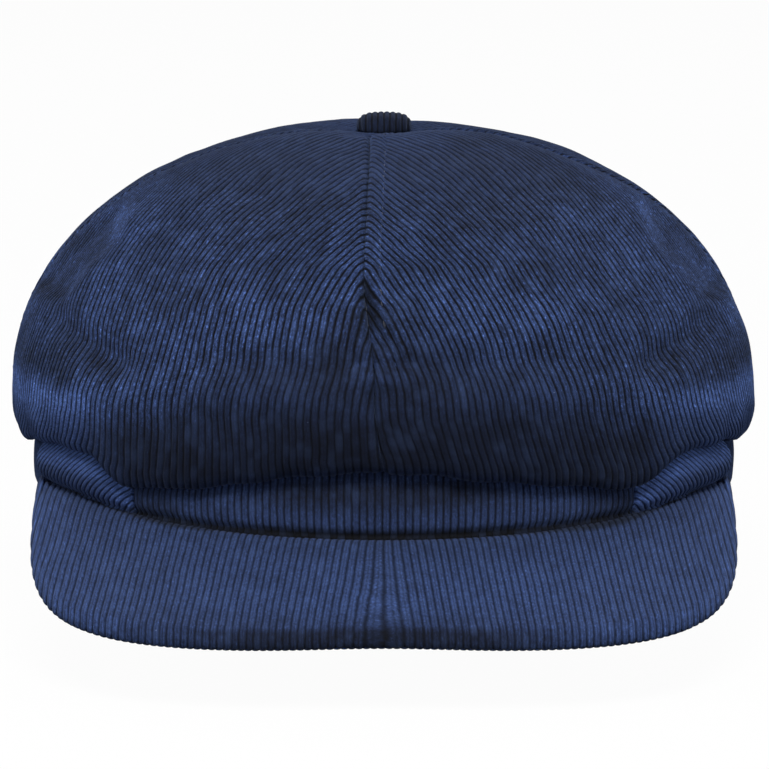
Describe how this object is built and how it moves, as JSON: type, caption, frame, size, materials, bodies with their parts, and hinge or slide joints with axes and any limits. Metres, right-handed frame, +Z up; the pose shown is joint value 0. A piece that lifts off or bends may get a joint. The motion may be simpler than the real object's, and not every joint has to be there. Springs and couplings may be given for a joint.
{
  "type": "newsboy cap",
  "caption": "Navy corduroy newsboy cap: full panelled crown with a covered button, overhanging a narrow band, and a padded drooping visor that flexes at the temples.",
  "frame": {"origin": "centre of the head opening, in the plane of the band's lower edge", "axes": "+Z up through the button, the visor points along -Y, +X towards the wearer's left"},
  "size_m": [0.213, 0.2816, 0.1273],
  "materials": {
    "crown_corduroy": "navy cotton corduroy, fine wales, soft pile",
    "band_corduroy": "navy cotton corduroy, fine wales, cut with the wales upright in front and on the bias at the sides",
    "visor_corduroy": "navy cotton corduroy, fine wales running fore and aft",
    "visor_under_corduroy": "navy cotton corduroy, fine wales",
    "button_corduroy": "navy cotton corduroy stretched over the button",
    "lining": "charcoal navy lining twill, faint sheen",
    "sweatband_twill": "dark navy cotton twill tape, padded",
    "interfacing": "off-white woven interfacing",
    "visor_foam": "soft open-cell foam pad",
    "visor_board": "black flexible polyethylene board",
    "button_steel": "nickel-plated steel",
    "label_tape": "blank white woven tape",
    "navy_thread": "navy polyester thread",
    "grey_thread": "grey polyester thread"
  },
  "bodies": {
    "cap": {"crown_panel_front_left": "crown_corduroy", "crown_panel_front_right": "crown_corduroy", "crown_panel_rear_left": "crown_corduroy", "crown_panel_rear_right": "crown_corduroy", "lining_panel_front_left": "lining", "lining_panel_front_right": "lining", "lining_panel_rear_left": "lining", "lining_panel_rear_right": "lining", "button_cover": "button_corduroy", "button_shell": "button_steel", "button_back_plate": "button_steel", "button_washer": "button_steel", "outer_band_front": "band_corduroy", "outer_band_side_left": "band_corduroy", "outer_band_side_right": "band_corduroy", "outer_band_rear": "band_corduroy", "band_interfacing_front": "interfacing", "band_interfacing_rear": "interfacing", "sweatband_front": "sweatband_twill", "sweatband_rear": "sweatband_twill", "size_label": "label_tape", "care_label": "label_tape", "crown_topstitching": "navy_thread", "sweatband_stitching": "grey_thread"},
    "visor": {"visor_top_cover": "visor_corduroy", "visor_foam_pad": "visor_foam", "visor_board": "visor_board", "visor_under_cover": "visor_under_corduroy"}
  },
  "joints": [
    {"name": "visor_flex", "type": "hinge", "parent": "cap", "child": "visor", "pos_m": [0, -0.032, 0.002], "axis": [-1, 0, 0], "range_deg": [-8, 6]}
  ]
}
